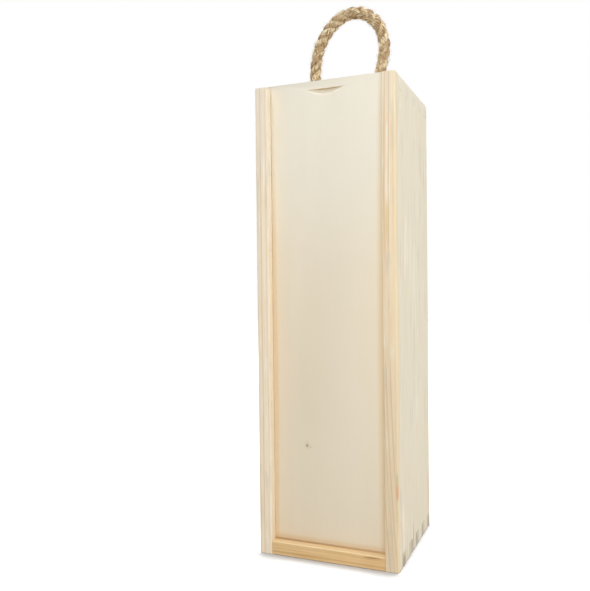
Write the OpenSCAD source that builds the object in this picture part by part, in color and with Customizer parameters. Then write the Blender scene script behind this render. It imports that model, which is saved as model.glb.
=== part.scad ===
// Upright wooden bottle box: four finger-jointed boards, a captured back panel,
// a front lid that slides up in two grooves, and a rope handle knotted inside.
// Millimetres. The front with the lid faces -Y, +Z is up, and the origin is at the
// centre of the base.

/* [Box] */
// Width over the two side boards
box_w = 104; // [96:1:130]
// Depth from the front edges to the back edges
box_d = 104; // [96:1:130]
// Height of the side boards
box_h = 340; // [300:1:400]
// Thickness of the side, top and bottom boards
board_t = 9.6; // [8.4:0.2:12]
// Number of fingers along one corner, those of both boards counted
finger_count = 10; // [6:2:14]

/* [Sliding lid] */
// Thickness of the lid
lid_t = 5; // [4:0.5:6]
// How far the face of the lid lies behind the front edges
lid_recess = 6.8; // [5:0.2:9]
// How far each edge of the lid reaches into its groove
lid_tongue = 4.5; // [3:0.5:5.5]
// How far the top edge of the lid stands above the side boards
lid_proud = 2; // [0:0.5:4]
// Depth of the groove that the foot of the lid stands in
foot_groove = 3; // [2:0.5:5]
// Gap between the lid and each wall of its grooves
lid_gap = 0.25; // [0.15:0.05:0.4]

/* [Thumb notch] */
// Width of the notch along its straight ledge
notch_w = 27.6; // [20:0.2:40]
// Distance from the top edge of the lid down to the ledge
notch_drop = 6; // [5:0.2:12]
// Depth of the ledge at the middle
notch_depth = 2.6; // [1.6:0.2:3]
// Height of the sloped floor below the ledge
notch_h = 5; // [4:0.5:9]

/* [Back panel] */
// Thickness of the panel
panel_t = 4; // [3:0.5:6]
// How far the panel lies in front of the back edges
panel_inset = 5; // [4:0.5:8]
// How far the panel reaches into the groove on all four sides
panel_tongue = 4.5; // [3:0.5:5.5]

/* [Rope handle] */
// Diameter of the rope
rope_d = 8; // [6:0.5:8.5]
// Diameter of each hole in the top board
hole_d = 9.2; // [8.8:0.1:10]
// Distance between the centres of the two holes
hole_span = 50; // [40:1:56]
// Diameter of each knot
knot_d = 21; // [19:1:22]
// Height of each knot
knot_h = 15; // [13:1:18]
// Radius of the rounded edges of each knot
knot_round = 5; // [4:0.5:5.5]
// Length of the rope's tail below each knot
tail_len = 12; // [6:1:20]

/* [Hidden] */

$fn = 96;
// How far a cut runs past the surface that it opens
past = 1;

front_y = -box_d / 2;
back_y = box_d / 2;
inner_w = box_w - 2 * board_t;
inner_top = box_h - board_t;
finger_pitch = box_d / finger_count;

lid_w = inner_w + 2 * lid_tongue;
lid_face_y = front_y + lid_recess;
lid_foot_z = board_t - foot_groove;
lid_top_z = box_h + lid_proud;
// The top board starts behind the lid, so that the lid can pass in front of it
top_front_y = lid_face_y + lid_t + lid_gap;

panel_w = inner_w + 2 * panel_tongue;
panel_y = back_y - panel_inset - panel_t;
panel_foot_z = board_t - panel_tongue;
panel_h = box_h - 2 * panel_foot_z;

// The ledge is a chord of the round cutter, so its width and depth give the radius
notch_r = (notch_w * notch_w / 4 + notch_depth * notch_depth) / (2 * notch_depth);

// The rope leaves the top board halfway along it
rope_y = (top_front_y + back_y) / 2;
rope_sides = 12;
// The loop above the top face, hole to hole: right, back and up from midway between them
loop_points = [
    [-25.5, 0, 9.5],
    [-26.5, 0, 19.5],
    [-25.5, 0, 32],
    [-22.5, 1, 45],
    [-16.5, 1, 55],
    [-9, 2, 63],
    [0, 2, 67],
    [9, 2, 67],
    [17.5, 2, 63],
    [24.5, 2, 55.5],
    [28, 1, 48],
    [29.5, 1, 39],
    [29, 0, 30],
    [27, 0, 20.5],
    [25, 0, 11],
];
rope_route = [for (p = concat(
    [[-hole_span / 2, 0, -board_t], [-hole_span / 2, 0, 0]],
    loop_points,
    [[hole_span / 2, 0, 0], [hole_span / 2, 0, -board_t]])) p + [0, rope_y, box_h]];

pine = [0.90, 0.78, 0.58];
honey_pine = [0.84, 0.62, 0.36];
pale_ply = [0.92, 0.82, 0.66];
jute = [0.66, 0.52, 0.34];

function unit(v) = v / norm(v);
function route_direction(r, i) = unit(r[min(i + 1, len(r) - 1)] - r[max(i - 1, 0)]);

// A tube swept along a route that runs mainly across Y, with flat ends
module swept_tube(route, d, sides) {
    points = [for (i = [0 : len(route) - 1])
        let (along = route_direction(route, i))
        let (out = unit(cross([0, 1, 0], along)))
        let (back = cross(along, out))
        for (k = [0 : sides - 1])
            let (a = 360 * k / sides)
            route[i] + d / 2 * (cos(a) * out + sin(a) * back)];
    walls = [for (i = [0 : len(route) - 2]) for (k = [0 : sides - 1])
        let (n = (k + 1) % sides)
        [i * sides + k, (i + 1) * sides + k, (i + 1) * sides + n, i * sides + n]];
    start = [for (k = [0 : sides - 1]) k];
    end = [for (k = [sides - 1 : -1 : 0]) (len(route) - 1) * sides + k];
    polyhedron(points, concat([start], walls, [end]));
}

// The room that one corner leaves for every second finger. first 0 takes the
// side boards' fingers, first 1 those of the board across.
module finger_room(first, from_y, z) {
    for (i = [first : 2 : finger_count - 1]) {
        start_y = max(front_y + i * finger_pitch, from_y);
        end_y = front_y + (i + 1) * finger_pitch;
        if (end_y > start_y)
            translate([0, start_y, z]) cube([board_t, end_y - start_y, board_t]);
    }
}

// The lid's path, from its foot out through the top
module lid_room() {
    translate([-lid_w / 2 - lid_gap, lid_face_y - lid_gap, lid_foot_z])
        cube([lid_w + 2 * lid_gap, lid_t + 2 * lid_gap, box_h]);
}

module panel_block() {
    translate([-panel_w / 2, panel_y, panel_foot_z]) cube([panel_w, panel_t, panel_h]);
}

// The side board that lies towards -X. Its mirror image is the other one.
module side_board() {
    difference() {
        translate([-box_w / 2, front_y, 0]) cube([board_t, box_d, box_h]);
        translate([-box_w / 2, 0, 0]) finger_room(1, front_y, 0);
        translate([-box_w / 2, 0, 0]) finger_room(1, top_front_y, inner_top);
        lid_room();
        panel_block();
    }
}

// The blank of a board across the box, with its fingers cut at both ends
module cross_board(from_y, z) {
    difference() {
        translate([-box_w / 2, from_y, z]) cube([box_w, back_y - from_y, board_t]);
        translate([-box_w / 2, 0, 0]) finger_room(0, front_y, z);
        translate([box_w / 2 - board_t, 0, 0]) finger_room(0, front_y, z);
        // The corner ahead of the first finger belongs to the side board
        for (x = [-box_w / 2 - past, box_w / 2 - board_t])
            translate([x, front_y, z - past])
                cube([board_t + past, finger_pitch, board_t + 2 * past]);
    }
}

module left_side() {
    color(pine) side_board();
}

module right_side() {
    color(pine) mirror([1, 0, 0]) side_board();
}

module bottom_board() {
    color(honey_pine) difference() {
        cross_board(front_y, 0);
        lid_room();
        panel_block();
    }
}

module top_board() {
    color(pine) difference() {
        cross_board(top_front_y, inner_top);
        panel_block();
        for (x = [-hole_span / 2, hole_span / 2])
            translate([x, rope_y, inner_top - past]) cylinder(d = hole_d, h = board_t + 2 * past);
    }
}

module back_panel() {
    color(pale_ply) panel_block();
}

module sliding_lid() {
    color(pale_ply) difference() {
        translate([-lid_w / 2, lid_face_y, lid_foot_z]) cube([lid_w, lid_t, lid_top_z - lid_foot_z]);
        translate([0, lid_face_y + notch_depth - notch_r, lid_top_z - notch_drop - notch_h])
            cylinder(h = notch_h, r1 = notch_r - notch_depth, r2 = notch_r);
    }
}

module rope_handle() {
    color(jute) swept_tube(rope_route, rope_d, rope_sides);
}

// A knot pulled up against the underside of the top board, with its short tail
module rope_knot(x) {
    flat_r = knot_d / 2 - knot_round;
    translate([x, rope_y, inner_top - knot_h]) {
        rotate_extrude() {
            square([flat_r, knot_h]);
            translate([flat_r, knot_round]) square([knot_round, knot_h - 2 * knot_round]);
            for (z = [knot_round, knot_h - knot_round])
                translate([flat_r, z]) intersection() {
                    circle(knot_round);
                    translate([0, -knot_round]) square([knot_round, 2 * knot_round]);
                }
        }
        translate([0, 0, -tail_len]) cylinder(d = rope_d, h = tail_len);
    }
}

module rope_knot_left() {
    color(jute) rope_knot(-hole_span / 2);
}

module rope_knot_right() {
    color(jute) rope_knot(hole_span / 2);
}

left_side();
right_side();
bottom_board();
top_board();
back_panel();
sliding_lid();
rope_handle();
rope_knot_left();
rope_knot_right();
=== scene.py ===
"""Looks of an upright wooden wine box with a sliding front lid and a rope handle.

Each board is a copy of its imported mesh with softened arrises, dressed in solid procedural wood.
The handle is a three-strand jute rope laid along its route and knotted under the top board.
Metres, with the lid facing -Y and +Z up.
"""

import logging
import math
from dataclasses import dataclass, field
from enum import Enum

import bmesh
import bpy
from mathutils import Matrix, Vector


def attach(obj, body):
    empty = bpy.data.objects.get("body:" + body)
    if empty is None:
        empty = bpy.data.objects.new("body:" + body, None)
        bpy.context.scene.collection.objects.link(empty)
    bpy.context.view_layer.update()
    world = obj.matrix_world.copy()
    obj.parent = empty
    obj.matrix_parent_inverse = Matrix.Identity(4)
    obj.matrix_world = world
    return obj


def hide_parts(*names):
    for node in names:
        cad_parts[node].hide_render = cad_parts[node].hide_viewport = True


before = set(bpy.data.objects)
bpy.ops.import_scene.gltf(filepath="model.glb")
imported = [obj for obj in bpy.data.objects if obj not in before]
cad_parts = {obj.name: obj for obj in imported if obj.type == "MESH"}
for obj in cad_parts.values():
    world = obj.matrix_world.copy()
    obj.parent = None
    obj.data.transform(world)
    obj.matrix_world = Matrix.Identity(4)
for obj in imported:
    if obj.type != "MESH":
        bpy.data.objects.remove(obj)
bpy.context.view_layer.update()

LOG = logging.getLogger("wine_box")
MM = 0.001
Colour = tuple[float, float, float, float]
Point = tuple[float, float, float]
Socket = bpy.types.NodeSocket


def shade(red: int, green: int, blue: int) -> Colour:
    """Turns a paint-chart colour of 0 to 255 into the linear colour that shaders take.

    Args:
        red: the chart's red.
        green: its green.
        blue: its blue.

    Returns:
        Linear red, green and blue with full alpha.
    """
    levels = [level / 255 for level in (red, green, blue)]
    linear = [v / 12.92 if v <= 0.04045 else ((v + 0.055) / 1.055) ** 2.4 for v in levels]
    return (linear[0], linear[1], linear[2], 1.0)


def darker(colour: Colour, share: float) -> Colour:
    """Returns the colour with its three levels times share."""
    return (colour[0] * share, colour[1] * share, colour[2] * share, 1.0)


WHITE = shade(255, 255, 255)


class Sheet:
    """A node tree under construction, with short calls for the nodes that this file uses."""

    def __init__(self, tree: bpy.types.NodeTree) -> None:
        """Keeps the tree that the calls add to."""
        self.tree = tree

    def plug(self, socket: Socket, value: object) -> None:
        """Feeds a socket.

        Args:
            socket: the input.
            value: a socket to link to it, or the value to set there.
        """
        if isinstance(value, Socket):
            self.tree.links.new(value, socket)
        else:
            socket.default_value = value

    def node(self, kind: str, inputs: dict | None = None, **settings: object) -> bpy.types.Node:
        """Adds a node.

        Args:
            kind: Blender's name for the node type.
            inputs: values or sockets by input name or number.
            settings: the node's own properties.

        Returns:
            The new node.
        """
        made = self.tree.nodes.new(kind)
        for key, value in settings.items():
            setattr(made, key, value)
        for key, value in (inputs or {}).items():
            self.plug(made.inputs[key], value)
        return made

    def maths(self, operation: str, *values: object, clamp: bool = False) -> Socket:
        """Adds a Math node and returns its result."""
        inputs = dict(enumerate(values))
        return self.node("ShaderNodeMath", inputs, operation=operation, use_clamp=clamp).outputs[0]

    def times(self, first: object, second: object, clamp: bool = False) -> Socket:
        """Multiplies two numbers."""
        return self.maths("MULTIPLY", first, second, clamp=clamp)

    def sway(self, base: object, level: Socket, reach: object, clamp: bool = False) -> Socket:
        """Moves base up and down with a noise level, by reach for each whole step from 0.5."""
        return self.maths("MULTIPLY_ADD", self.maths("SUBTRACT", level, 0.5), reach, base, clamp=clamp)

    def vectors(self, operation: str, *values: object) -> Socket:
        """Adds a Vector Math node.

        Args:
            operation: Blender's name for the sum.
            values: its inputs in order; the second one of SCALE is the factor.

        Returns:
            The resulting vector, or the number of a LENGTH or DOT_PRODUCT.
        """
        made = self.node("ShaderNodeVectorMath", operation=operation)
        for number, value in enumerate(values):
            scaling = operation == "SCALE" and number == 1
            self.plug(made.inputs["Scale"] if scaling else made.inputs[number], value)
        return made.outputs["Value" if operation in ("LENGTH", "DOT_PRODUCT") else "Vector"]

    def parts(self, vector: Socket) -> list[Socket]:
        """Splits a vector into its three numbers."""
        return list(self.node("ShaderNodeSeparateXYZ", {0: vector}).outputs)

    def joined(self, *numbers: object) -> Socket:
        """Joins three numbers into a vector."""
        return self.node("ShaderNodeCombineXYZ", dict(enumerate(numbers))).outputs[0]

    def noise(self, vector: object, scale: float = 1.0, detail: float = 2.0, rough: float = 0.5) -> Socket:
        """Adds smooth noise and returns its level, which lies round 0.5."""
        inputs = {"Vector": vector, "Scale": scale, "Detail": detail, "Roughness": rough}
        return self.node("ShaderNodeTexNoise", inputs).outputs[0]

    def ramp(self, value: object, low: float, high: float, first: float = 0.0, last: float = 1.0) -> Socket:
        """Carries value from low..high to first..last with soft ends, and holds it outside.

        Args:
            value: the socket to carry over.
            low: where the change starts.
            high: where it ends.
            first: what it gives at low and before.
            last: what it gives at high and after.

        Returns:
            The carried value.
        """
        inputs = {"Value": value, "From Min": low, "From Max": high, "To Min": first, "To Max": last}
        return self.node("ShaderNodeMapRange", inputs, interpolation_type="SMOOTHSTEP").outputs[0]


class ShaderSheet(Sheet):
    """The node tree of one material."""

    def __init__(self, name: str) -> None:
        """Starts an empty material.

        Args:
            name: what the material is called.
        """
        self.material = bpy.data.materials.new(name)
        self.material.use_nodes = True
        self.material.node_tree.nodes.clear()
        super().__init__(self.material.node_tree)

    def stretched(self, axes: list[Socket], scales: Point, detail: float = 2.0, rough: float = 0.5) -> Socket:
        """Adds noise that is stretched along some axes.

        Args:
            axes: the three coordinates.
            scales: how many swings per metre the noise makes along each.
            detail: the noise's detail.
            rough: the noise's roughness.

        Returns:
            The noise's level, which lies round 0.5.
        """
        scaled = [self.times(axis, scale) for axis, scale in zip(axes, scales)]
        return self.noise(self.joined(*scaled), 1.0, detail, rough)

    def blend(self, share: object, first: object, second: object) -> Socket:
        """Mixes two colours.

        Args:
            share: how much of the second there is, from 0 to 1.
            first: a colour or its socket.
            second: a colour or its socket.

        Returns:
            The mixed colour.
        """
        made = self.node("ShaderNodeMix", data_type="RGBA", clamp_factor=True)
        for number, value in ((0, share), (6, first), (7, second)):
            self.plug(made.inputs[number], value)
        return made.outputs[2]

    def surface(self, fixed: dict, linked: dict) -> bpy.types.Material:
        """Ends the tree in a Principled surface.

        Args:
            fixed: numbers and colours that are the same all over, by socket name.
            linked: sockets that vary, by socket name.

        Returns:
            The finished material.
        """
        shader = self.node("ShaderNodeBsdfPrincipled", fixed | linked)
        self.node("ShaderNodeOutputMaterial", {"Surface": shader.outputs[0]})
        return self.material


class Axis(Enum):
    """A direction of the box, with its place in a point."""

    X = 0
    Y = 1
    Z = 2


@dataclass(frozen=True)
class Mark:
    """A place of another colour in the wood, such as a pin knot, a stain, a painted shade or a painted
    highlight, in millimetres.
    """

    centre: Point
    reach: Point
    colour: Colour
    strength: float


@dataclass(frozen=True)
class GrainLine:
    """One dark line of late wood, at its distance from the rings' heart."""

    radius: float
    width: float
    strength: float


# Swings per metre of the wood's patterns: through the board, across it and along its grain
RING_DRIFT = (11.0, 11.0, 3.2)
FINE_FIBRES = (900.0, 900.0, 16.0)
SHORT_FIBRES = (420.0, 420.0, 26.0)
TONE_BANDS = (110.0, 110.0, 3.0)
FLECK_GRAIN = (260.0, 260.0, 24.0)
# Swings of the jute's patterns: round a strand in both directions, and per metre along it
JUTE_FIBRES = (9.0, 9.0, 170.0)
JUTE_CLUMPS = (1.5, 1.5, 280.0)
JUTE_SPECKS = (2.6, 2.6, 480.0)


@dataclass(frozen=True)
class Wood:
    """A solid wood: growth rings round a heart, fibres along the grain and duller end grain."""

    name: str
    slot: str
    grain: Axis
    # The direction of the board's thickness
    through: Axis
    pale: Colour
    warm: Colour
    late: Colour
    end: Colour
    # Where the rings' heart lies, along the board's thickness and across it
    heart: tuple[float, float]
    ring_pitch: float
    ring_strength: float = 0.5
    lines: tuple[GrainLine, ...] = ()
    # The part of the board's length where the named lines are faint
    faint_span: tuple[float, float] = (1.0, 1.0)
    # The own tone of the board's two broad faces, and how much of it and of the rings shows there
    broad: Colour = WHITE
    broad_part: float = 0.0
    broad_rings: float = 0.3
    # How far from the box's middle a broad face lies that has its own tone
    broad_from: float = 0.0
    # Where the rings start to lean outwards below and above, and how fast, per metre squared
    low_bend: tuple[float, float] = (0.0, 0.0)
    high_bend: tuple[float, float] = (1.0, 0.0)
    wander: float = 0.0006
    # The share of the warm tone at the low and the high end of tone_span
    tone_span: tuple[float, float] = (0.0, 0.34)
    tone_share: tuple[float, float] = (0.3, 0.3)
    band_strength: float = 0.4
    fibre_strength: float = 0.35
    # How strong the patches of short light and dark flecks are
    flecks: float = 0.0
    end_contrast: float = 0.8
    marks: tuple[Mark, ...] = ()

    def ring_levels(
        self, s: ShaderSheet, through: Socket, across: Socket, along: Socket
    ) -> tuple[Socket, Socket]:
        """Finds how far into late wood each point is.

        Args:
            s: the material's tree.
            through: the coordinate along the board's thickness.
            across: the coordinate across the board.
            along: the coordinate along the grain.

        Returns:
            The level of the regular rings and that of the named lines, from 0 to 1.
        """
        drift = s.stretched([through, across, along], RING_DRIFT)
        low = s.maths("MAXIMUM", s.maths("SUBTRACT", self.low_bend[0], along), 0.0)
        high = s.maths("MAXIMUM", s.maths("SUBTRACT", along, self.high_bend[0]), 0.0)
        lean = s.times(s.maths("POWER", low, 2.0), self.low_bend[1])
        lean = s.maths("MULTIPLY_ADD", s.maths("POWER", high, 2.0), self.high_bend[1], lean)
        off_t = s.maths("SUBTRACT", through, self.heart[0])
        off_a = s.maths("SUBTRACT", across, self.heart[1])
        radius = s.vectors("LENGTH", s.joined(off_t, off_a, 0.0))
        radius = s.maths("SUBTRACT", radius, lean)
        radius = s.sway(radius, drift, self.wander * 4)

        turns = s.times(radius, 1 / self.ring_pitch)
        inputs = {"W": s.times(turns, 0.6), "Scale": 1.0, "Detail": 1.0}
        uneven = s.node("ShaderNodeTexNoise", inputs, noise_dimensions="1D").outputs[0]
        turns = s.maths("MULTIPLY_ADD", uneven, 0.8, turns)
        year = s.maths("FLOOR", turns)
        part = s.maths("SUBTRACT", turns, year)
        depth = s.node("ShaderNodeTexWhiteNoise", {"W": year}, noise_dimensions="1D").outputs["Value"]
        # Late wood darkens slowly and ends sharply
        rings = s.times(s.ramp(part, 0.45, 0.88), s.ramp(part, 0.90, 0.99, 1.0, 0.0))
        rings = s.times(rings, s.ramp(depth, 0.0, 1.0, 0.3, 1.0))

        drawn = s.times(radius, 0.0)
        for line in self.lines:
            off = s.maths("SUBTRACT", radius, line.radius)
            rise = s.ramp(off, -1.6 * line.width, 0.0, 0.0, line.strength)
            fall = s.ramp(off, 0.0, 0.7 * line.width, 1.0, 0.0)
            drawn = s.maths("MAXIMUM", drawn, s.times(rise, fall))
        below = s.ramp(along, self.faint_span[0] - 0.03, self.faint_span[0], 1.0, 0.4)
        above = s.ramp(along, self.faint_span[1], self.faint_span[1] + 0.03, 0.4, 1.0)
        return rings, s.times(drawn, s.maths("MAXIMUM", below, above))

    def build(self) -> bpy.types.Material:
        """Builds the wood as a material on Object coordinates.

        Returns:
            The material.
        """
        s = ShaderSheet(self.name)
        place = s.node("ShaderNodeTexCoord")
        spot = place.outputs["Object"]
        axes = s.parts(spot)
        facing = [s.maths("ABSOLUTE", n) for n in s.parts(place.outputs["Normal"])]
        other = ({0, 1, 2} - {self.grain.value, self.through.value}).pop()
        through, across, along = axes[self.through.value], axes[other], axes[self.grain.value]
        faced = facing[self.through.value]
        end_share = s.ramp(facing[self.grain.value], 0.55, 0.9)
        outer = s.ramp(s.maths("ABSOLUTE", through), self.broad_from - MM, self.broad_from + MM)
        broad_share = s.times(s.ramp(faced, 0.5, 0.9), outer)
        rings, drawn = self.ring_levels(s, through, across, along)

        grain = [through, across, along]
        fine = s.stretched(grain, FINE_FIBRES, 3.0, 0.6)
        short = s.stretched(grain, SHORT_FIBRES, 2.0, 0.55)
        band = s.stretched(grain, TONE_BANDS)
        cloud = s.noise(spot, 16.0, 2.0)

        tone = s.ramp(axes[2], *self.tone_span, *self.tone_share)
        tone = s.sway(tone, band, 2.2 * self.band_strength)
        tone = s.sway(tone, cloud, 0.5, clamp=True)
        colour = s.blend(tone, self.pale, self.warm)
        colour = s.blend(s.times(broad_share, self.broad_part), colour, self.broad)
        flecks = s.stretched(grain, FLECK_GRAIN)
        flecked = s.times(s.ramp(s.noise(spot, 26.0, 1.0), 0.42, 0.60), self.flecks)
        grey_flecks = s.times(s.ramp(flecks, 0.52, 0.64), flecked)
        colour = s.blend(grey_flecks, colour, darker(self.broad, 0.78))
        pale_flecks = s.times(s.ramp(flecks, 0.46, 0.34, 0.0, 2.0), flecked)
        colour = s.blend(pale_flecks, colour, shade(246, 240, 222))
        shown = s.ramp(faced, 0.5, 0.9, 1.0, self.broad_rings)
        late = s.maths("MAXIMUM", s.times(rings, self.ring_strength), drawn)
        colour = s.blend(s.times(late, shown), colour, self.late)
        colour = s.blend(s.ramp(fine, 0.5, 0.8, 0.0, self.fibre_strength), colour, self.late)
        colour = s.blend(s.ramp(short, 0.52, 0.72, 0.0, 0.45 * self.fibre_strength), colour, self.late)
        colour = s.blend(s.ramp(short, 0.46, 0.28, 0.0, 0.8 * self.fibre_strength), colour, self.pale)

        # End grain is duller and shows pores instead of fibres
        pores = s.noise(spot, 1900.0, 2.0, 0.7)
        deep = darker(self.end, 1 - 0.32 * self.end_contrast)
        blotch = s.ramp(s.noise(spot, 130.0, 1.0), 0.42, 0.62, 0.0, 0.7 * self.end_contrast)
        end_colour = s.blend(s.times(rings, self.end_contrast), self.end, deep)
        end_colour = s.blend(blotch, end_colour, deep)
        end_colour = s.blend(s.ramp(pores, 0.5, 0.7, 0.0, 0.4), end_colour, deep)
        colour = s.blend(end_share, colour, end_colour)
        for mark in self.marks:
            centre, reach = ([v * MM for v in part] for part in (mark.centre, mark.reach))
            spread = s.vectors("LENGTH", s.vectors("DIVIDE", s.vectors("SUBTRACT", spot, centre), reach))
            colour = s.blend(s.ramp(spread, 0.4, 1.0, mark.strength, 0.0), colour, mark.colour)

        rough = s.maths("MULTIPLY_ADD", late, -0.10, 0.62)
        rough = s.maths("MULTIPLY_ADD", fine, 0.12, rough)
        rough = s.maths("MULTIPLY_ADD", end_share, 0.12, rough)
        relief = s.maths("MULTIPLY_ADD", late, 0.5, s.times(fine, 0.7))
        relief = s.maths("MULTIPLY_ADD", s.times(pores, end_share), 0.8, relief)
        bump = s.node("ShaderNodeBump", {"Strength": 0.5, "Distance": 0.08 * MM, "Height": relief})
        linked = {"Base Color": colour, "Roughness": rough, "Normal": bump.outputs[0]}
        return s.surface({"Specular IOR Level": 0.2}, linked)


@dataclass(frozen=True)
class Jute:
    """Twisted jute: yarns of pale and brown fibres, with painted shade down in the grooves."""

    name: str
    pale: Colour
    tan: Colour
    brown: Colour

    def build(self) -> bpy.types.Material:
        """Builds the jute as a material on the rope's own strand attributes.

        Returns:
            The material.
        """
        s = ShaderSheet(self.name)
        names = {"fibre_place": "Vector", "groove": "Fac", "yarn_tone": "Fac"}
        place, groove, yarn = (
            s.node("ShaderNodeAttribute", attribute_name=name).outputs[kind] for name, kind in names.items()
        )
        axes = s.parts(place)
        fibre = s.stretched(axes, JUTE_FIBRES, 4.0, 0.65)
        clump = s.stretched(axes, JUTE_CLUMPS, 3.0, 0.6)
        light = s.maths("MULTIPLY_ADD", yarn, 0.3, s.ramp(fibre, 0.36, 0.66, 0.0, 1.0), clamp=True)
        colour = s.blend(light, self.tan, self.pale)
        colour = s.blend(s.ramp(clump, 0.51, 0.61, 0.0, 0.4), colour, self.brown)
        colour = s.blend(s.ramp(clump, 0.46, 0.36, 0.0, 0.4), colour, self.pale)
        speck = s.stretched(axes, JUTE_SPECKS)
        colour = s.blend(s.ramp(speck, 0.54, 0.60, 0.0, 0.9), colour, darker(self.brown, 0.5))
        colour = s.blend(s.ramp(speck, 0.49, 0.42, 0.0, 0.9), colour, self.pale)
        # Painted shade: darker down in the grooves between strands and yarns
        colour = s.blend(s.times(groove, 0.55), colour, darker(self.brown, 0.75))
        relief = s.maths("ADD", fibre, s.times(clump, 0.6))
        bump = s.node("ShaderNodeBump", {"Strength": 0.9, "Distance": 0.35 * MM, "Height": relief})
        fixed = {"Roughness": 0.88, "Specular IOR Level": 0.2, "Sheen Weight": 0.25, "Sheen Roughness": 0.5}
        return s.surface(fixed, {"Base Color": colour, "Normal": bump.outputs[0]})


@dataclass(frozen=True)
class HairFinish:
    """Loose pale fibres that stand off the rope."""

    name: str
    colour: Colour

    def build(self) -> bpy.types.Material:
        """Builds the fibre material, a little different from place to place.

        Returns:
            The material.
        """
        s = ShaderSheet(self.name)
        spot = s.node("ShaderNodeTexCoord").outputs["Object"]
        colour = s.blend(s.ramp(s.noise(spot, 220.0), 0.4, 0.65), self.colour, darker(self.colour, 0.6))
        return s.surface({"Roughness": 0.8, "Specular IOR Level": 0.2}, {"Base Color": colour})


PALE_PINE = shade(242, 226, 196)
WARM_PINE = shade(233, 210, 174)
LATE_PINE = shade(212, 166, 114)
# What the woods of the two side boards have in common
SIDE_BOARD = {
    "slot": "pine_board",
    "grain": Axis.Z,
    "through": Axis.X,
    "late": LATE_PINE,
    "broad": shade(232, 229, 212),
    "broad_part": 0.65,
    "broad_rings": 0.22,
    "broad_from": 45 * MM,
    "end": shade(206, 190, 160),
    "ring_strength": 0.16,
    "flecks": 0.45,
}

RIGHT_PINE = Wood(
    name="right_side_pine",
    pale=PALE_PINE,
    warm=WARM_PINE,
    heart=(-0.098, -0.052),
    ring_pitch=0.0016,
    lines=(
        GrainLine(0.1367, 0.0007, 0.60),
        GrainLine(0.1396, 0.0005, 0.45),
        GrainLine(0.1419, 0.0007, 0.60),
        GrainLine(0.1449, 0.0007, 0.60),
        GrainLine(0.1478, 0.0005, 0.20),
    ),
    faint_span=(0.155, 0.205),
    low_bend=(0.19, 0.213),
    high_bend=(0.221, 0.088),
    wander=0.0003,
    tone_span=(0.0, 0.20),
    tone_share=(0.75, 0.25),
    marks=(
        Mark((52, -50, 180), (3, 4.6, 600), shade(239, 215, 171), 0.60),
        Mark((47.2, -52, 70), (12, 3, 110), shade(213, 198, 171), 0.30),
        Mark((47.2, -52, 335), (12, 3, 35), shade(241, 232, 212), 0.30),
        Mark((51.6, -52, 55.5), (1.5, 1.5, 8), shade(222, 150, 108), 0.65),
        Mark((51.6, -52, 64), (1.4, 1.4, 6), shade(190, 182, 148), 0.55),
        Mark((45.5, -52, 241), (1.3, 3, 20), shade(226, 202, 142), 0.50),
        Mark((52, 47, 30), (4, 6, 24), shade(230, 196, 170), 0.50),
        Mark((52, -7.3, 6), (3, 1.7, 20), shade(166, 156, 136), 0.75),
    ),
    **SIDE_BOARD,
)
LEFT_PINE = Wood(
    name="left_side_pine",
    pale=shade(244, 234, 213),
    warm=shade(238, 220, 190),
    heart=(0.100, -0.052),
    ring_pitch=0.0018,
    lines=(
        GrainLine(0.1442, 0.0009, 0.30),
        GrainLine(0.1483, 0.0008, 0.45),
        GrainLine(0.1512, 0.0006, 0.30),
    ),
    wander=0.0004,
    tone_share=(0.6, 0.25),
    marks=(
        Mark((-47.2, -52, 315), (12, 3, 50), shade(230, 222, 210), 0.30),
        # Painted light: paler along the left lip's inner corner beside the lid, lifting the shade of the
        # recess
        Mark((-42.4, -45.4, 170), (1.2, 1, 1000), shade(255, 246, 222), 0.90),
    ),
    **SIDE_BOARD,
)
TOP_PINE = Wood(
    name="top_board_pine",
    slot="pine_board",
    grain=Axis.X,
    through=Axis.Z,
    pale=PALE_PINE,
    warm=WARM_PINE,
    late=LATE_PINE,
    broad=shade(240, 229, 205),
    broad_part=0.65,
    end=shade(233, 226, 207),
    end_contrast=0.12,
    heart=(0.180, 0.012),
    ring_pitch=0.0052,
    ring_strength=0.5,
    broad_rings=0.7,
)
HONEY_PINE = Wood(
    name="bottom_board_pine",
    slot="honey_board",
    grain=Axis.X,
    through=Axis.Z,
    pale=shade(232, 200, 150),
    warm=shade(222, 184, 130),
    late=shade(186, 140, 80),
    broad=shade(233, 201, 152),
    broad_part=0.65,
    end=shade(216, 205, 184),
    end_contrast=0.5,
    heart=(-0.110, -0.060),
    ring_pitch=0.0026,
    ring_strength=0.55,
    broad_rings=0.7,
    fibre_strength=0.5,
    marks=(
        Mark((0, -50, 9.6), (500, 4, 1.2), shade(224, 198, 157), 0.8),
        # Painted shade: darker along the groove where the lid's foot stands
        Mark((0, -45.2, 9.6), (500, 1, 2), shade(204, 166, 114), 0.6),
        Mark((39, -52, 4), (18, 3, 10), shade(202, 164, 112), 0.30),
        # Painted highlight: a pale line along the front top arris
        Mark((0, -52, 9.6), (500, 1, 1), shade(246, 222, 174), 0.35),
        Mark((33, -52, 8), (9, 1, 0.6), shade(150, 108, 56), 0.8),
        Mark((52, -37, 3), (3, 6, 6), shade(156, 144, 122), 0.65),
        Mark((52, -11.5, 5), (3, 2.4, 9), shade(142, 132, 112), 0.70),
        Mark((52, 3, 5), (3, 3.4, 6), shade(160, 150, 130), 0.60),
        Mark((52, 24, 4), (3, 3.4, 6), shade(168, 158, 140), 0.50),
        Mark((52, 45, 4), (3, 4, 6), shade(168, 158, 140), 0.50),
    ),
)
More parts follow.
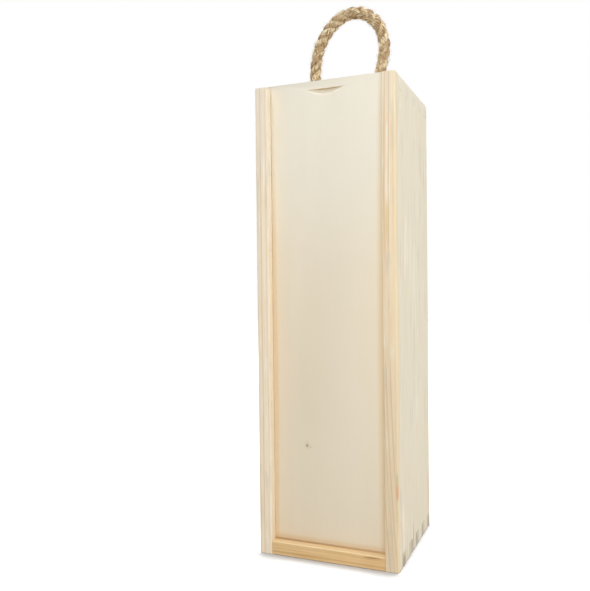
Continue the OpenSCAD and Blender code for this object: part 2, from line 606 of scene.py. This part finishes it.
LID_WOOD = Wood(
    name="sliding_lid_wood",
    slot="lid_board",
    grain=Axis.Z,
    through=Axis.Y,
    pale=shade(248, 243, 228),
    warm=shade(245, 231, 206),
    late=shade(218, 194, 154),
    # Warm end grain, lighter than plain end grain: painted light on the shaded underside of the notch's ledge
    end=shade(250, 222, 174),
    heart=(0.260, 0.020),
    ring_pitch=0.0125,
    ring_strength=0.12,
    broad_rings=0.5,
    # Paler at the top than lower down: partly the board's own tone, partly a painted sheen on its upper part
    tone_span=(0.16, 0.32),
    tone_share=(0.96, 0.04),
    band_strength=0.03,
    fibre_strength=0.05,
    marks=(
        # Painted shade: darker towards the right, evening out the lamps' brighter light there
        Mark((55, -45.2, 170), (100, 30, 9000), shade(212, 204, 184), 0.30),
        Mark((-16.6, -45.2, 80.2), (1.1, 1.1, 1.3), shade(112, 98, 78), 0.8),
        Mark((-16.6, -45.2, 80.2), (2.6, 2.6, 4), shade(214, 196, 166), 0.3),
        Mark((-13.9, -45.2, 79.3), (0.6, 0.6, 0.6), shade(150, 138, 116), 0.6),
        # Painted shade: warmer and darker towards the foot, with a dark line where the foot meets the bottom
        # board
        Mark((0, -45.2, 10), (500, 3, 5), shade(216, 182, 132), 0.35),
        Mark((0, -45.2, 9.6), (500, 3, 1.6), shade(196, 158, 106), 0.6),
        # Painted shade with painted warm reflected light: a band along the left edge beside the lip
        Mark((-42.4, -45.2, 120), (5, 3, 240), shade(232, 200, 150), 0.50),
        # Painted shade in the thumb notch: darker under the ledge and on the upward-facing lower slope
        Mark((0, -42.8, 334.8), (16, 1.6, 2), shade(216, 202, 172), 0.10),
        Mark((0, -44.4, 332.8), (16, 1, 3.6), shade(226, 208, 182), 0.25),
        # Painted shadow: a soft darker band along the right edge, as cast by the right board's lip
        Mark((42.4, -45.2, 150), (7.5, 3, 270), shade(222, 194, 146), 0.55),
    ),
)
PANEL_WOOD = Wood(
    name="back_panel_wood",
    slot="lid_board",
    grain=Axis.Z,
    through=Axis.Y,
    pale=shade(240, 228, 204),
    warm=shade(234, 214, 180),
    late=shade(214, 186, 144),
    end=shade(210, 190, 156),
    heart=(-0.210, -0.015),
    ring_pitch=0.0100,
    ring_strength=0.45,
    broad_rings=0.8,
    band_strength=0.3,
    fibre_strength=0.3,
)
ROPE_JUTE = Jute(
    name="jute_strands",
    pale=shade(255, 244, 210),
    tan=shade(242, 206, 148),
    brown=shade(160, 108, 44),
)
ROPE_HAIR = HairFinish(name="jute_fibres", colour=shade(228, 210, 176))


@dataclass
class Camera:
    """The place and lens that the picture is taken with, and its turn, tilt and roll in degrees."""

    place: Point = (0.1633, -0.4982, 0.1957)
    turn: float = -22.564
    tilt: float = -0.80
    roll: float = -0.63
    lens: float = 41.2
    sensor: float = 36.0

    def build(self) -> bpy.types.Object:
        """Makes the camera and gives it to the scene.

        Returns:
            The camera object.
        """
        turn, tilt, roll = (math.radians(a) for a in (self.turn, self.tilt, self.roll))
        ahead = Vector((math.sin(turn) * math.cos(tilt), math.cos(turn) * math.cos(tilt), math.sin(tilt)))
        level = Vector((math.cos(turn), -math.sin(turn), 0.0))
        above = level.cross(ahead)
        right = math.cos(roll) * level + math.sin(roll) * above
        up = math.cos(roll) * above - math.sin(roll) * level
        data = bpy.data.cameras.new("camera")
        data.sensor_fit = "HORIZONTAL"
        data.sensor_width = self.sensor
        data.lens = self.lens
        camera = bpy.data.objects.new("camera", data)
        bpy.context.scene.collection.objects.link(camera)
        axes = Matrix((right, up, -ahead)).transposed()
        camera.matrix_world = Matrix.Translation(self.place) @ axes.to_4x4()
        bpy.context.scene.camera = camera
        return camera


@dataclass(frozen=True)
class Lamp:
    """A square soft lamp: where it hangs, its side, its power and the point that it faces."""

    name: str
    place: Point
    size: float
    watts: float
    aim: Point = (0.0, 0.0, 0.20)

    def build(self) -> bpy.types.Object:
        """Makes the lamp.

        Returns:
            The lamp object.
        """
        data = bpy.data.lights.new(self.name, "AREA")
        data.size = self.size
        data.energy = self.watts
        lamp = bpy.data.objects.new(self.name, data)
        lamp.location = self.place
        lamp.rotation_euler = (Vector(self.aim) - Vector(self.place)).to_track_quat("-Z", "Y").to_euler()
        bpy.context.scene.collection.objects.link(lamp)
        return lamp


@dataclass
class Studio:
    """A white floor with the box's shadow and a painted contact shadow where its glow dims near the box, a
    white surround and four soft lamps.
    """

    floor_reach: float = 3.0
    floor_drop: float = 0.2 * MM
    surround_light: float = 0.29
    floor_glow: float = 1.2
    # The floor's colour for bounced light, and the darker one that the camera sees under the glow, which
    # deepens the painted shade
    floor_colour: Colour = shade(203, 203, 203)
    shade_colour: Colour = shade(178, 177, 176)
    # How near the box the floor's glow dims, painting its contact shadow
    contact: float = 22 * MM
    # How much open sky ends the painted shade in front of the box and beside it
    shade_ends: tuple[float, float] = (1.2, 0.6)
    lamps: tuple[Lamp, ...] = (
        Lamp("front_lamp", (0.25, -1.08, 0.50), 0.7, 5.1),
        Lamp("side_lamp", (1.60, -0.20, 0.45), 0.9, 11.2, (0.0, 0.0, 0.17)),
        Lamp("top_lamp", (0.0, -0.35, 1.55), 0.8, 10.6),
        Lamp("back_lamp", (-0.70, 1.20, 0.70), 0.9, 6.0),
    )

    def build(self) -> None:
        """Makes the floor, the surround and the lamps."""
        self.make_floor()
        self.make_surround()
        for lamp in self.lamps:
            lamp.build()

    def make_floor(self) -> None:
        """Makes the floor: a pale face that glows white to the camera, but dims close to the box as a painted
        contact shadow.
        """
        mesh = bpy.data.meshes.new("floor")
        r = self.floor_reach
        z = -self.floor_drop
        mesh.from_pydata([(-r, -r, z), (r, -r, z), (r, r, z), (-r, r, z)], [], [(0, 1, 2, 3)])
        floor = bpy.data.objects.new("floor", mesh)
        bpy.context.scene.collection.objects.link(floor)
        s = ShaderSheet("floor_white")
        seen = s.node("ShaderNodeLightPath")
        direct = s.maths("MAXIMUM", seen.outputs["Is Camera Ray"], seen.outputs["Is Glossy Ray"])
        near = s.node("ShaderNodeAmbientOcclusion", {"Distance": self.contact}, samples=12)
        # The painted shade reaches further out in front of the box than beside it
        depth = s.parts(s.node("ShaderNodeTexCoord").outputs["Object"])[1]
        high = s.ramp(depth, -54 * MM, -51.5 * MM, *self.shade_ends)
        strength = s.ramp(near.outputs["AO"], 0.5, high, 0.0, self.floor_glow)
        plain = s.node("ShaderNodeBsdfDiffuse", {"Color": self.floor_colour})
        glow = s.node("ShaderNodeEmission", {"Color": WHITE, "Strength": strength})
        under = s.node("ShaderNodeBsdfDiffuse", {"Color": self.shade_colour})
        both = s.node("ShaderNodeAddShader", {0: under.outputs[0], 1: glow.outputs[0]})
        mixed = s.node("ShaderNodeMixShader", {0: direct, 1: plain.outputs[0], 2: both.outputs[0]})
        s.node("ShaderNodeOutputMaterial", {"Surface": mixed.outputs[0]})
        mesh.materials.append(s.material)

    def make_surround(self) -> None:
        """Makes the world: white where it is seen, and a plain level of light elsewhere."""
        world = bpy.data.worlds.new("surround")
        world.use_nodes = True
        world.node_tree.nodes.clear()
        bpy.context.scene.world = world
        s = Sheet(world.node_tree)
        seen = s.node("ShaderNodeLightPath")
        direct = s.maths("MAXIMUM", seen.outputs["Is Camera Ray"], seen.outputs["Is Glossy Ray"])
        light = s.node("ShaderNodeBackground", {0: WHITE, 1: self.surround_light})
        white = s.node("ShaderNodeBackground", {0: WHITE, 1: 1.0})
        mixed = s.node("ShaderNodeMixShader", {0: direct, 1: light.outputs[0], 2: white.outputs[0]})
        s.node("ShaderNodeOutputWorld", {"Surface": mixed.outputs[0]})


@dataclass
class BoardWork:
    """Turns a packed board into a finished one with softened arrises."""

    body: str
    arris: float = 0.6 * MM
    joint_arris: float = 0.18 * MM
    # Edges shorter than this belong to the corner joints
    joint_edge: float = 14 * MM
    # Edges between these two lengths stay sharp
    left_sharp: tuple[float, float] = (0.0, 0.0)
    # Edges nearer than this to the box's upright axis, between these two heights, are inner ones
    inner_reach: float = 47.5 * MM
    inner_heights: tuple[float, float] = (2 * MM, 338 * MM)
    merge_reach: float = 0.002 * MM
    flat_angle: float = math.radians(0.5)
    sharp_angle: float = math.radians(50)
    # Facets of a round wall turn by less than this
    round_angle: float = math.radians(8)

    def finished(self, node: str, wood: Wood) -> bpy.types.Object:
        """Copies a board, rounds its arrises and dresses it.

        Args:
            node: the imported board's name.
            wood: its wood.

        Returns:
            The finished board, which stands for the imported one.
        """
        mesh = self.merged_copy(node)
        board = bpy.data.objects.new(f"{node}_board", mesh)
        bpy.context.scene.collection.objects.link(board)
        self.weigh_edges(mesh)
        bevel = board.modifiers.new("arrises", "BEVEL")
        bevel.width = self.arris
        bevel.segments = 3
        bevel.limit_method = "WEIGHT"
        bevel.harden_normals = True
        mesh.materials.append(wood.build())
        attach(board, self.body)
        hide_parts(node)
        LOG.info("%s: %d faces before rounding", board.name, len(mesh.polygons))
        return board

    def merged_copy(self, node: str) -> bpy.types.Mesh:
        """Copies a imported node's mesh with its corners joined and its flat faces whole.

        Args:
            node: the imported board's name.

        Returns:
            The new mesh, smooth-shaded.
        """
        shape = bmesh.new()
        shape.from_mesh(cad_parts[node].data)
        bmesh.ops.remove_doubles(shape, verts=shape.verts, dist=self.merge_reach)
        flat = {"angle_limit": self.flat_angle, "verts": shape.verts, "edges": shape.edges}
        bmesh.ops.dissolve_limit(shape, use_dissolve_boundaries=False, **flat)
        for face in shape.faces:
            face.smooth = True
        for edge in shape.edges:
            flat_enough = abs(edge.calc_face_angle_signed(0.0)) < self.round_angle
            edge.smooth = flat_enough or self.rounding(edge) > 0.0
        mesh = bpy.data.meshes.new(f"{node}_board")
        shape.to_mesh(mesh)
        shape.free()
        return mesh

    def rounding(self, edge: bmesh.types.BMEdge) -> float:
        """Finds how much an edge is rounded.

        Args:
            edge: an edge of the merged board.

        Returns:
            Its share of the arris, which is none on flat, hollow and left-sharp edges.
        """
        length = edge.calc_length()
        if len(edge.link_faces) != 2 or edge.calc_face_angle_signed(0.0) < self.sharp_angle:
            return 0.0
        if self.left_sharp[0] < length < self.left_sharp[1]:
            return 0.0
        ends = [v.co for v in edge.verts]
        low, high = self.inner_heights
        inside = all(max(abs(p.x), abs(p.y)) < self.inner_reach and low < p.z < high for p in ends)
        return min(1.0, self.joint_arris / self.arris) if inside or length < self.joint_edge else 1.0

    def weigh_edges(self, mesh: bpy.types.Mesh) -> None:
        """Gives each sharp outward edge its share of the rounding.

        Args:
            mesh: the merged board.
        """
        weights = mesh.attributes.new("bevel_weight_edge", "FLOAT", "EDGE")
        shape = bmesh.new()
        shape.from_mesh(mesh)
        for edge in shape.edges:
            weights.data[edge.index].value = self.rounding(edge)
        shape.free()


@dataclass
class Box:
    """The glued box: two sides, bottom, top and the panel at the back."""

    work: BoardWork = field(default_factory=lambda: BoardWork("box"))

    def build(self) -> list[bpy.types.Object]:
        """Finishes every board of the box.

        Returns:
            The finished boards.
        """
        woods = {
            "left_side": LEFT_PINE,
            "right_side": RIGHT_PINE,
            "bottom_board": HONEY_PINE,
            "top_board": TOP_PINE,
            "back_panel": PANEL_WOOD,
        }
        return [self.work.finished(node, wood) for node, wood in woods.items()]


@dataclass
class Lid:
    """The pale front lid with its thumb notch."""

    work: BoardWork = field(
        default_factory=lambda: BoardWork("lid", 0.4 * MM, left_sharp=(20 * MM, 40 * MM), inner_reach=0.0)
    )

    def build(self) -> bpy.types.Object:
        """Finishes the lid."""
        return self.work.finished("sliding_lid", LID_WOOD)


class GeometrySheet(Sheet):
    """A Geometry Nodes tree under construction, with named inputs."""

    def __init__(self, name: str, inputs: dict[str, float]) -> None:
        """Starts the tree and declares its inputs.

        Args:
            name: what the tree is called.
            inputs: each input's value by name; a whole number makes a whole-number input.
        """
        super().__init__(bpy.data.node_groups.new(name, "GeometryNodeTree"))
        self.inputs = inputs
        sockets = self.tree.interface
        sockets.new_socket("Geometry", in_out="INPUT", socket_type="NodeSocketGeometry")
        sockets.new_socket("Geometry", in_out="OUTPUT", socket_type="NodeSocketGeometry")
        for title, value in inputs.items():
            kind = "NodeSocketInt" if isinstance(value, int) else "NodeSocketFloat"
            sockets.new_socket(title, in_out="INPUT", socket_type=kind)
        self.start = self.node("NodeGroupInput")
        self.end = self.node("NodeGroupOutput")

    def given(self, name: str) -> Socket:
        """Returns the socket that carries a named input."""
        return self.start.outputs[name]

    def store(self, geometry: Socket, name: str, value: object, kind: str = "FLOAT") -> Socket:
        """Stores a named attribute on the points and returns the geometry."""
        inputs = {"Geometry": geometry, "Name": name, "Value": value}
        return self.node("GeometryNodeStoreNamedAttribute", inputs, data_type=kind, domain="POINT").outputs[0]

    def stored(self, name: str, kind: str = "FLOAT") -> Socket:
        """Reads a named attribute."""
        made = self.node("GeometryNodeInputNamedAttribute", {"Name": name}, data_type=kind)
        return made.outputs["Attribute"]

    def field(self, kind: str, output: int | str = 0) -> Socket:
        """Adds a GeometryNode input node of a kind and returns one of its outputs."""
        return self.node(f"GeometryNode{kind}").outputs[output]

    def chance(self, low: float, high: float, seed: object, number: object = None) -> Socket:
        """Adds a seeded random level, for each point or for each given whole number."""
        inputs = {"Min": low, "Max": high, "Seed": seed} | ({} if number is None else {"ID": number})
        return self.node("FunctionNodeRandomValue", inputs, data_type="FLOAT").outputs["Value"]

    def finish(self, geometry: Socket, material: bpy.types.Material) -> None:
        """Ends the tree in Realize Instances and Set Material.

        Args:
            geometry: what the tree has made.
            material: the finish that it gets.
        """
        real = self.node("GeometryNodeRealizeInstances", {0: geometry})
        dressed = self.node("GeometryNodeSetMaterial", {"Geometry": real.outputs[0], "Material": material})
        self.plug(self.end.inputs[0], dressed.outputs[0])

    def run(self, source: bpy.types.Mesh, name: str) -> bpy.types.Object:
        """Runs the tree on a mesh and keeps the result as a plain mesh object.

        Args:
            source: the mesh that the tree starts from.
            name: what the finished piece is called.

        Returns:
            The finished object, with no modifier.
        """
        maker = bpy.data.objects.new(f"{name}_maker", source)
        bpy.context.scene.collection.objects.link(maker)
        modifier = maker.modifiers.new(name, "NODES")
        modifier.node_group = self.tree
        for item in self.tree.interface.items_tree:
            if item.in_out == "INPUT" and item.name in self.inputs:
                modifier[item.identifier] = self.inputs[item.name]
        maker.update_tag()
        graph = bpy.context.evaluated_depsgraph_get()
        mesh = bpy.data.meshes.new_from_object(maker.evaluated_get(graph), depsgraph=graph)
        mesh.name = name
        bpy.data.objects.remove(maker)
        made = bpy.data.objects.new(name, mesh)
        bpy.context.scene.collection.objects.link(made)
        LOG.info("%s: %d faces", name, len(mesh.polygons))
        return made


def smooth_route(points: list[Vector], steps: int) -> list[Vector]:
    """Runs a smooth line through points.

    Args:
        points: the points that it passes through.
        steps: how many short lengths it has between two of them.

    Returns:
        The points of the smooth line.
    """
    ends = [2 * points[0] - points[1], *points, 2 * points[-1] - points[-2]]
    line = []
    for a, b, c, d in zip(ends, ends[1:], ends[2:], ends[3:]):
        for step in range(steps):
            t = step / steps
            cubic = (2 * a - 5 * b + 4 * c - d) * t**2 + (3 * b - a - 3 * c + d) * t**3
            line.append(0.5 * (2 * b + (c - a) * t + cubic))
    line.append(points[-1].copy())
    return line


def line_mesh(points: list[Vector]) -> bpy.types.Mesh:
    """Makes a chain of edges for a tree to start from.

    Args:
        points: the chain's points in order.

    Returns:
        The mesh.
    """
    mesh = bpy.data.meshes.new("rope_line")
    mesh.from_pydata([tuple(p) for p in points], [(i, i + 1) for i in range(len(points) - 1)], [])
    return mesh


@dataclass
class Rope:
    """The twisted rope of the handle, its two knots under the top board and its loose fibres."""

    body: str = "box"
    slot: str = "jute_rope"
    diameter: float = 8.0 * MM
    strands: int = 3
    lay: float = 22.0 * MM
    strand_radius: float = 2.15 * MM
    strand_offset: float = 2.05 * MM
    # How much fatter the rope is in its bend than at its ends
    swell: float = 0.10
    yarns: int = 7
    yarn_lay: float = 9.0 * MM
    yarn_depth: float = 0.17
    step: float = 0.55 * MM
    strand_seed: int = 5
    # How many points the section of a strand has
    section_points: int = 35
    # How many short lengths lie between two points of a route
    handle_steps: int = 12
    knot_steps: int = 8
    # How far each knot is turned outwards, in degrees
    knot_turn: float = 70.0
    hair_density: float = 620000.0
    hair_length: float = 5.0 * MM
    hair_thickness: float = 0.08 * MM
    hair_seed: int = 7
    # Where the rope leaves the top board: half the holes' spacing, and their place along Y
    hole_x: float = 25.0 * MM
    hole_y: float = 6.025 * MM
    top_z: float = 340.0 * MM
    board: float = 9.6 * MM
    # The loop above the top face, hole to hole, in millimetres from midway between the holes
    loop: tuple[Point, ...] = (
        (-25.5, 0, 9.5), (-26.5, 0, 19.5), (-25.5, 0, 32), (-22.5, 1, 45), (-16.5, 1, 55),
        (-9, 2, 63), (0, 2, 67), (9, 2, 67), (17.5, 2, 63), (24.5, 2, 55.5),
        (28, 1, 48), (29.5, 1, 39), (29, 0, 30), (27, 0, 20.5), (25, 0, 11),
    )
    # An overhand knot and its tail, in millimetres below the top board's underside
    knot: tuple[Point, ...] = (
        (0, 0, -1), (0.5, 0, -4), (2.5, -1, -8), (4, 0.5, -11), (1.5, 4, -11),
        (-4, 4, -9), (-6, -0.5, -6.5), (-1.5, -6, -4.5), (5, -4, -4.5), (5.5, 2.5, -6),
        (1, 4, -8), (-1.5, 0.5, -11.5), (-0.5, -0.5, -15), (0, 0, -20), (0, 0, -27),
    )

    def route(self) -> list[Vector]:
        """Finds the handle's centreline.

        Returns:
            Its points from the left hole's foot to the right hole's foot.
        """
        middle = Vector((0.0, self.hole_y, self.top_z))
        foot = Vector((self.hole_x, 0.0, -self.board))
        mouth = Vector((self.hole_x, 0.0, 0.0))
        flip = Vector((-1.0, 1.0, 1.0))
        loop = [Vector(p) * MM for p in self.loop]
        line = (foot * flip, mouth * flip, *loop, mouth, foot)
        return smooth_route([middle + p for p in line], self.handle_steps)

    def knot_route(self, side: int) -> list[Vector]:
        """Finds the centreline of the knot below one hole.

        Args:
            side: -1 for the left hole and 1 for the right one.

        Returns:
            The points from the board's underside to the tail's end.
        """
        hole = Vector((side * self.hole_x, self.hole_y, self.top_z - self.board))
        turn = Matrix.Rotation(math.radians(self.knot_turn * side), 3, "Z")
        return smooth_route([hole + turn @ (Vector(p) * MM) for p in self.knot], self.knot_steps)

    def strand_tree(self, name: str, swell: float, material: bpy.types.Material) -> GeometrySheet:
        """Builds the tree that lays strands of twisted yarn round a line.

        Args:
            name: what the tree is called.
            swell: how much fatter the rope is halfway along.
            material: the jute.

        Returns:
            The tree, ready to run on a chain of edges.
        """
        s = GeometrySheet(name, {
            "Strands": self.strands,
            "Lay": self.lay,
            "Strand Offset": self.strand_offset,
            "Strand Radius": self.strand_radius,
            "Swell": swell,
            "Yarns": self.yarns,
            "Yarn Lay": self.yarn_lay,
            "Yarn Depth": self.yarn_depth,
            "Step": self.step,
            "Seed": self.strand_seed,
        })
        line = s.node("GeometryNodeMeshToCurve", {0: s.given("Geometry")}).outputs[0]
        even = s.node("GeometryNodeResampleCurve", {"Curve": line, "Length": s.given("Step")}, mode="LENGTH")
        copies = s.node(
            "GeometryNodeDuplicateElements",
            {"Geometry": even.outputs[0], "Amount": s.given("Strands")},
            domain="SPLINE",
        )
        number = copies.outputs["Duplicate Index"]
        run = s.field("SplineParameter", "Length")
        arch = s.maths("SINE", s.times(s.field("SplineParameter", "Factor"), math.pi))
        fat = s.maths("MULTIPLY_ADD", s.maths("POWER", arch, 2.0), s.given("Swell"), 1.0)
        normal = s.field("InputNormal")
        side = s.vectors("CROSS_PRODUCT", s.field("InputTangent"), normal)
        share = s.maths("DIVIDE", number, s.given("Strands"))
        angle = s.times(s.maths("ADD", s.maths("DIVIDE", run, s.given("Lay")), share), math.tau)
        out = s.vectors(
            "ADD",
            s.vectors("SCALE", normal, s.maths("COSINE", angle)),
            s.vectors("SCALE", side, s.maths("SINE", angle)),
        )
        offset = s.vectors("SCALE", out, s.times(s.given("Strand Offset"), fat))
        moved = s.node("GeometryNodeSetPosition", {"Geometry": copies.outputs[0], "Offset": offset})
        strand = s.store(moved.outputs[0], "outward", out, "FLOAT_VECTOR")
        strand = s.store(strand, "run", s.maths("MULTIPLY_ADD", number, 0.37, run))
        strand = s.store(strand, "strand", number)
        wobble = s.noise(s.joined(s.times(run, 260.0), s.times(number, 9.0), 0.0))
        uneven = s.sway(1.0, wobble, 0.22)
        strand = s.store(strand, "girth", s.times(fat, uneven))
        twist = s.times(s.maths("DIVIDE", run, s.given("Yarn Lay")), -math.tau)
        tilted = s.node("GeometryNodeSetCurveTilt", {"Curve": strand, "Tilt": twist})

        round_line = {"Resolution": self.section_points, "Radius": s.given("Strand Radius")}
        ring = s.node("GeometryNodeCurvePrimitiveCircle", round_line)
        place = s.times(s.field("SplineParameter", "Factor"), s.given("Yarns"))
        lobes = s.maths("ABSOLUTE", s.maths("SINE", s.times(place, math.pi)))
        grown = s.maths("MULTIPLY_ADD", s.maths("SUBTRACT", lobes, 0.7), s.given("Yarn Depth"), 1.0)
        spot = s.field("InputPosition")
        around = s.store(ring.outputs[0], "around", s.vectors("NORMALIZE", spot), "FLOAT_VECTOR")
        around = s.store(around, "valley", s.maths("SUBTRACT", 1.0, lobes))
        around = s.store(around, "yarn", s.maths("FLOOR", place))
        outline = {"Geometry": around, "Position": s.vectors("SCALE", spot, grown)}
        lobed = s.node("GeometryNodeSetPosition", outline)
        tube = s.node("GeometryNodeCurveToMesh", {
            "Curve": tilted.outputs[0],
            "Profile Curve": lobed.outputs[0],
            "Scale": s.stored("girth"),
            "Fill Caps": True,
        })

        outside = s.field("InputNormal")
        # How far each point faces away from its strand's outside or lies in a yarn's valley, for the painted
        # groove shade
        facing = s.vectors("DOT_PRODUCT", outside, s.stored("outward", "FLOAT_VECTOR"))
        sunk = s.times(s.maths("SUBTRACT", 0.25, facing), 1.7, clamp=True)
        sunk = s.maths("MAXIMUM", sunk, s.times(s.maths("POWER", s.stored("valley"), 2.0), 0.8))
        flat = s.parts(s.stored("around", "FLOAT_VECTOR"))
        yarn = s.maths("MULTIPLY_ADD", s.stored("strand"), 11.0, s.stored("yarn"))
        placed = s.store(tube.outputs[0], "groove", sunk)
        placed = s.store(placed, "fibre_place", s.joined(flat[0], flat[1], s.stored("run")), "FLOAT_VECTOR")
        placed = s.store(placed, "yarn_tone", s.chance(-1.0, 1.0, s.given("Seed"), yarn))
        rough = s.noise(s.field("InputPosition"), 900.0, 2.0, 0.6)
        lift = s.times(s.maths("SUBTRACT", rough, 0.5), 0.5 * MM)
        fray = {"Geometry": placed, "Offset": s.vectors("SCALE", outside, lift)}
        frayed = s.node("GeometryNodeSetPosition", fray)
        soft = s.node("GeometryNodeSetShadeSmooth", {"Geometry": frayed.outputs[0], "Shade Smooth": True})
        s.finish(soft.outputs[0], material)
        return s

    def hair_tree(self, material: bpy.types.Material) -> GeometrySheet:
        """Builds the tree that sets short bent fibres on a rope's surface.

        Args:
            material: the fibres' finish.

        Returns:
            The tree, ready to run on a rope's mesh.
        """
        s = GeometrySheet("loose_fibres", {
            "Density": self.hair_density,
            "Length": self.hair_length,
            "Thickness": self.hair_thickness,
            "Seed": self.hair_seed,
        })
        dots = s.node(
            "GeometryNodeDistributePointsOnFaces",
            {"Mesh": s.given("Geometry"), "Density": s.given("Density"), "Seed": s.given("Seed")},
            distribute_method="RANDOM",
        )
        curl = {"Resolution": 4, "Start": (0, 0, 0), "Middle": (0.15, 0, 0.40), "End": (0.75, 0.12, 0.55)}
        strand = s.node("GeometryNodeCurveQuadraticBezier", curl).outputs[0]
        section = s.node("GeometryNodeCurvePrimitiveCircle", {"Resolution": 3, "Radius": 1.0}).outputs[0]
        left = s.maths("SUBTRACT", 1.15, s.field("SplineParameter", "Factor"))
        thin = s.times(left, s.maths("DIVIDE", s.given("Thickness"), s.given("Length")))
        hair = s.node("GeometryNodeCurveToMesh", {
            "Curve": strand,
            "Profile Curve": section,
            "Scale": thin,
            "Fill Caps": True,
        })
        tip = s.joined(0.0, s.chance(0.0, 1.15, 2), s.chance(0.0, math.tau, 1))
        turned = s.node(
            "FunctionNodeRotateRotation",
            {"Rotation": dots.outputs["Rotation"], "Rotate By": tip},
            rotation_space="LOCAL",
        )
        size = s.times(s.chance(0.2, 1.0, 3), s.given("Length"))
        hairs = s.node("GeometryNodeInstanceOnPoints", {
            "Points": dots.outputs["Points"],
            "Instance": hair.outputs[0],
            "Rotation": turned.outputs[0],
            "Scale": s.joined(size, size, size),
        })
        s.finish(hairs.outputs[0], material)
        return s

    def build(self) -> list[bpy.types.Object]:
        """Lays the handle and ties the knots.

        Returns:
            The handle, the two knots and the fibres.
        """
        jute = ROPE_JUTE.build()
        route = self.route()
        handle = self.strand_tree("laid_rope", self.swell, jute).run(line_mesh(route), "twisted_handle")
        tied = self.strand_tree("tied_rope", 0.0, jute)
        knots = []
        for side, place in ((-1, "left"), (1, "right")):
            knot = tied.run(line_mesh(self.knot_route(side)), f"overhand_knot_{place}")
            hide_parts(f"rope_knot_{place}")
            knots.append(knot)
        hairs = self.hair_tree(ROPE_HAIR.build()).run(handle.data.copy(), "loose_jute_fibres")
        for piece in (handle, hairs, *knots):
            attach(piece, self.body)
        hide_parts("rope_handle")
        return [handle, *knots, hairs]


def main() -> None:
    """Builds the camera, the rope, the box, the lid and the studio."""
    logging.basicConfig(level=logging.INFO, format="%(name)s: %(message)s")
    bpy.context.scene.view_settings.view_transform = "Standard"
    Camera().build()
    Rope().build()
    Box().build()
    Lid().build()
    Studio().build()
    bpy.context.view_layer.update()


if __name__ == "__main__":
    main()
